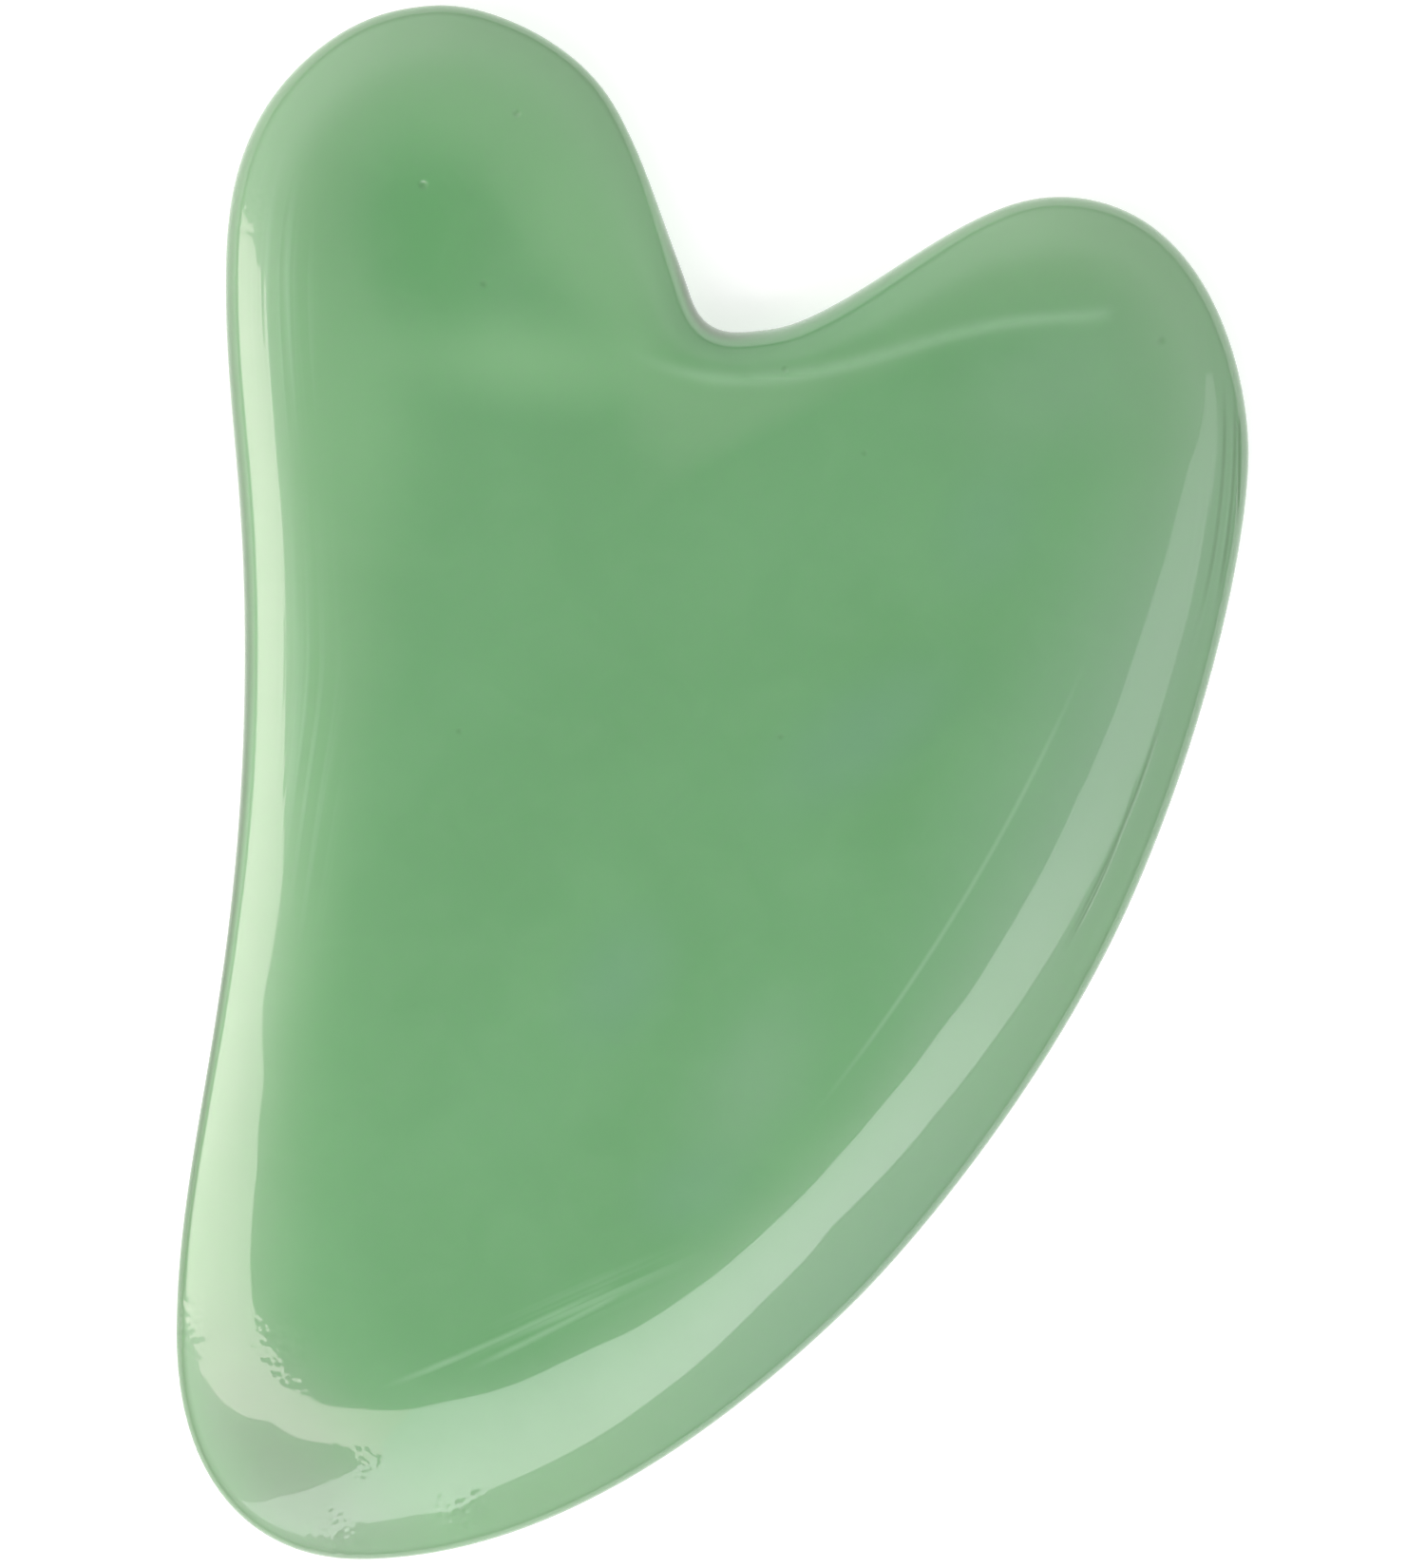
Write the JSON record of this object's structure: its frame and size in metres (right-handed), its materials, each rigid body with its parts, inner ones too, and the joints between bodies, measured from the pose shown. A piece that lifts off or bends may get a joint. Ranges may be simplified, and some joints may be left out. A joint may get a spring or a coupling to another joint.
{
  "type": "gua sha scraper",
  "caption": "Heart-shaped slab of polished green stone for massage by scraping, with a thin curved blade, a blunt straight side and a notch between round lobes.",
  "frame": {"origin": "centre of the bounding box in X and Y, on the flat back face that the stone rests on", "axes": "+X across the stone from the straight side to the curved blade, +Y along it from the tip to the two lobes, +Z out of the front face"},
  "size_m": [0.0566, 0.082, 0.0055],
  "materials": {
    "green_stone": "polished"
  },
  "bodies": {
    "root": {"scraper_stone": "green_stone"}
  },
  "joints": []
}
